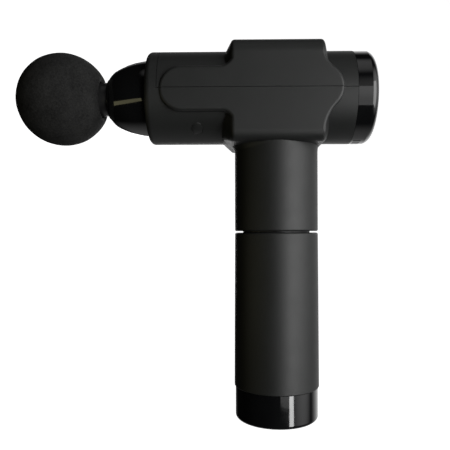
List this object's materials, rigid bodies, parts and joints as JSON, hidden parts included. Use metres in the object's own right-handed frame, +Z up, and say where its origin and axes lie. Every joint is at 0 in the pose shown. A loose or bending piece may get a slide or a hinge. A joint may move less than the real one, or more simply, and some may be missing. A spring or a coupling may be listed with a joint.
{
  "type": "massage gun",
  "caption": "Handheld percussion massage gun: foam ball head on a plunger driven by a motor and yoke in a barrel, with a battery handle that pulls off downwards.",
  "frame": {"origin": "centre of the base's flat underside, on the handle axis", "axes": "+Z up along the handle, the ball head towards -X along the barrel, +Y to the far side in the picture"},
  "size_m": [0.2343, 0.0622, 0.2411],
  "materials": {
    "soft_black": "soft-touch painted plastic, matte near-black",
    "gloss_black": "polished black plastic",
    "foam_black": null,
    "head_plastic": "satin black moulded plastic",
    "inner_plastic": "dark grey moulded plastic",
    "touch_glass": "dark tinted smooth window",
    "screw_steel": "blackened screw steel",
    "steel": "machined steel",
    "cast_alloy": "cast and machined aluminium",
    "black_rubber": "moulded rubber",
    "bearing_steel": "ground bearing steel",
    "bush_plastic": "low-friction plastic, off-white",
    "copper": null,
    "laminations": "stacked steel laminations",
    "magnet": "nickel-plated magnets",
    "board_green": "circuit board",
    "chip_black": "moulded chip packages",
    "contact_gold": "gold-plated contacts",
    "cell_sleeve": null,
    "nickel": "nickel strip",
    "wire_red": "insulated copper lead",
    "lamp": "clear lamp lens"
  },
  "bodies": {
    "housing": {"lower_housing": "soft_black", "top_cover": "soft_black", "housing_screws": "screw_steel", "screw_plugs": "soft_black", "nose_cone": "gloss_black", "nose_dust_ring": "black_rubber", "rear_bezel": "gloss_black", "bezel_screws": "screw_steel", "display_glass": "touch_glass", "display_board": "board_green", "display_screws": "screw_steel", "display_module": "chip_black", "touch_springs": "contact_gold", "drive_frame": "cast_alloy", "guide_bush": "bush_plastic", "front_damper": "black_rubber", "frame_dampers": "black_rubber", "frame_screws": "screw_steel", "motor_base": "cast_alloy", "motor_screws": "screw_steel", "motor_bearings": "bearing_steel", "motor_stator": "laminations", "motor_windings": "copper", "contact_carrier": "inner_plastic", "spring_contacts": "contact_gold", "driver_board": "board_green", "board_screws": "screw_steel", "board_parts": "chip_black", "inner_leads": "wire_red"},
    "crank": {"motor_shaft": "bearing_steel", "rotor_can": "steel", "rotor_magnets": "magnet", "crank_disc": "steel", "crank_pin": "bearing_steel", "pin_roller": "bearing_steel", "pin_clip": "steel"},
    "plunger_rod": {"plunger": "cast_alloy", "yoke": "steel", "yoke_pins": "steel"},
    "head": {"head_stem": "head_plastic", "stem_rings": "black_rubber", "foam_ball": "foam_black"},
    "battery_pack": {"battery_grip": "soft_black", "battery_case": "inner_plastic", "neck_ring": "black_rubber", "base_cap": "gloss_black", "base_screws": "screw_steel", "battery_cells": "cell_sleeve", "nickel_strips": "nickel", "cell_holders": "inner_plastic", "protection_board": "board_green", "contact_block": "inner_plastic", "contact_pads": "contact_gold", "switch_body": "inner_plastic", "charge_socket": "inner_plastic", "lamp_lens": "lamp", "pack_leads": "wire_red"},
    "rocker": {"power_rocker": "gloss_black"}
  },
  "joints": [
    {"name": "crank_turn", "type": "hinge", "parent": "housing", "child": "crank", "pos_m": [0, 0.0155, 0.2095], "axis": [0, 1, 0], "range_deg": [0, 180]},
    {"name": "plunger_stroke", "type": "slide", "parent": "housing", "child": "plunger_rod", "axis": [-1, 0, 0], "range_m": [0, 0.012]},
    {"name": "head_pull", "type": "slide", "parent": "plunger_rod", "child": "head", "axis": [-1, 0, 0], "range_m": [0, 0.03]},
    {"name": "battery_slide", "type": "slide", "parent": "housing", "child": "battery_pack", "axis": [0, 0, -1], "range_m": [0, 0.05]},
    {"name": "rocker_tilt", "type": "hinge", "parent": "battery_pack", "child": "rocker", "pos_m": [-0.0105, 0, 0.0044], "axis": [0, -1, 0], "range_deg": [0, 16]}
  ],
  "couplings": [
    {"joint": "crank_turn", "follows": "plunger_stroke", "rad_per_m": 261.79}
  ]
}
